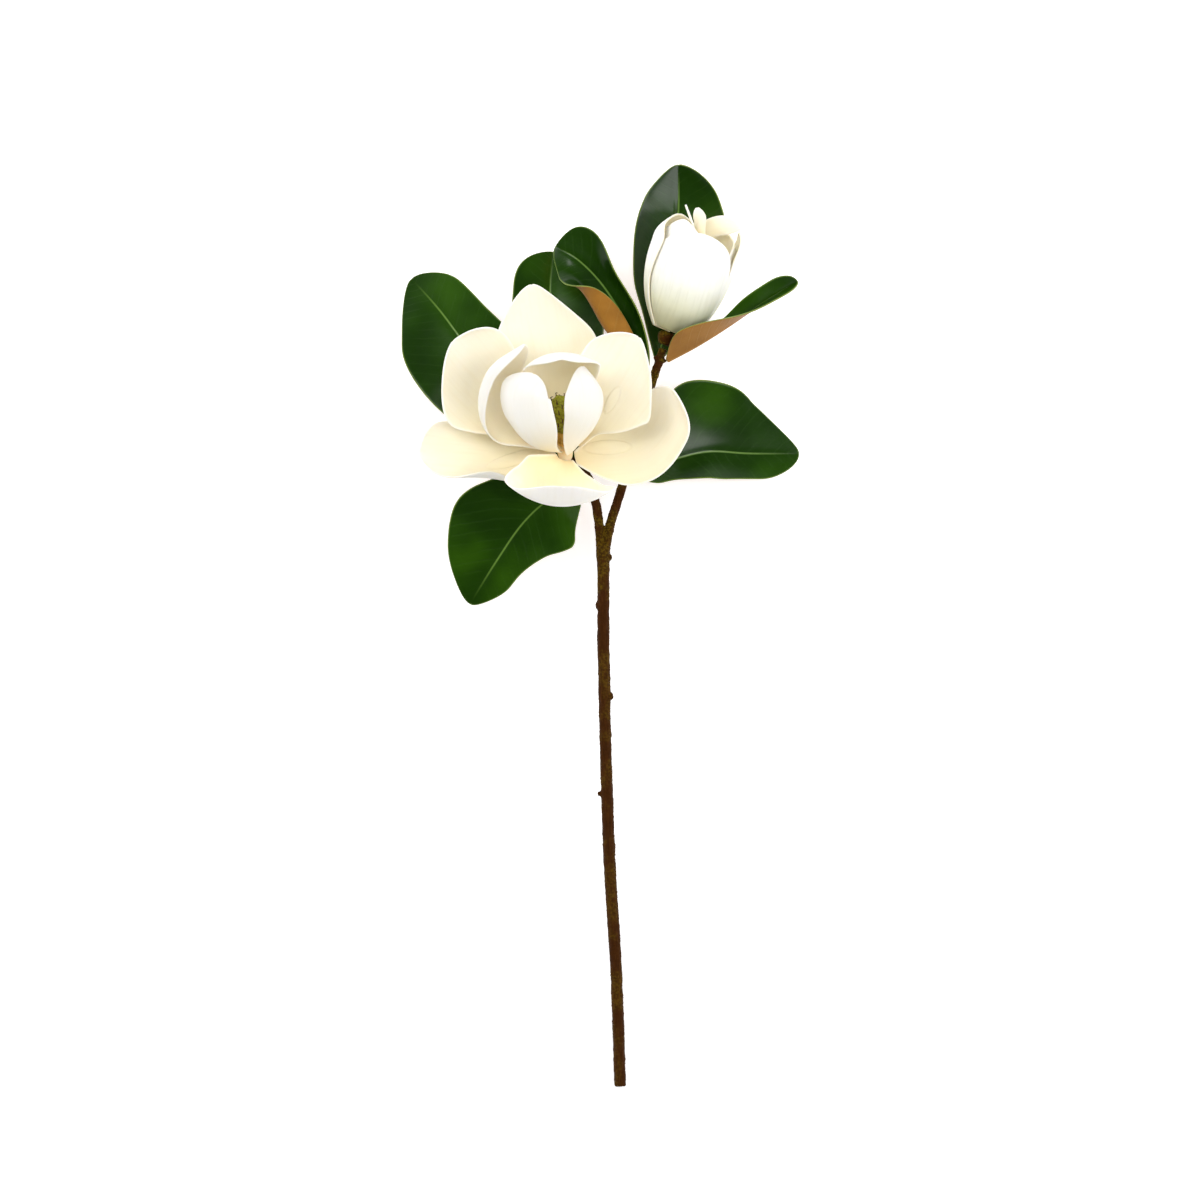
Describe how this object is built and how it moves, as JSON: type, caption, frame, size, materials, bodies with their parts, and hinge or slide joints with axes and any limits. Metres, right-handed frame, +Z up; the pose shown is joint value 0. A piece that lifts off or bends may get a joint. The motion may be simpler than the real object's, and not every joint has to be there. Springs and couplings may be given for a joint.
{
  "type": "magnolia branch",
  "caption": "Cut magnolia branch lying on its leaves: forked stem with an open ivory flower, a wrapped bud and broad glossy leaves",
  "frame": {"origin": "on the surface the branch lies on, under the middle of its box", "axes": "+Y runs from the cut end of the stem to the top leaf, +X to the viewer's right, +Z up, the way the open flower faces"},
  "size_m": [0.3067, 0.7115, 0.1425],
  "materials": {
    "bark": "matte",
    "petal_ivory": "satin",
    "bud_white": "satin",
    "leaf_green": "gloss",
    "stamen": "matte",
    "seed_cone": "matte"
  },
  "bodies": {
    "root": {"stem": "bark", "flower_receptacle": "petal_ivory", "stamen_ring": "stamen", "seed_cone": "seed_cone", "bud_receptacle": "bark", "bud_heart": "bud_white", "petal_back": "petal_ivory", "petal_left": "petal_ivory", "petal_inner_left": "petal_ivory", "petal_right": "petal_ivory", "petal_lower_right": "petal_ivory", "petal_lower_left": "petal_ivory", "petal_front": "petal_ivory", "petal_hood": "petal_ivory", "petal_inner_front_left": "petal_ivory", "petal_inner_front_right": "petal_ivory", "bud_petal_front": "bud_white", "bud_petal_left": "bud_white", "bud_petal_right": "bud_white", "bud_petal_inner_left": "bud_white", "bud_petal_back": "bud_white", "bud_tip_flared": "bud_white", "bud_tip_curled": "bud_white", "bud_tip_spike": "bud_white", "leaf_upper_left": "leaf_green", "leaf_behind_flower": "leaf_green", "leaf_curled": "leaf_green", "leaf_behind_bud": "leaf_green", "leaf_twisted": "leaf_green", "leaf_right": "leaf_green", "leaf_lower_left": "leaf_green"}
  },
  "joints": []
}
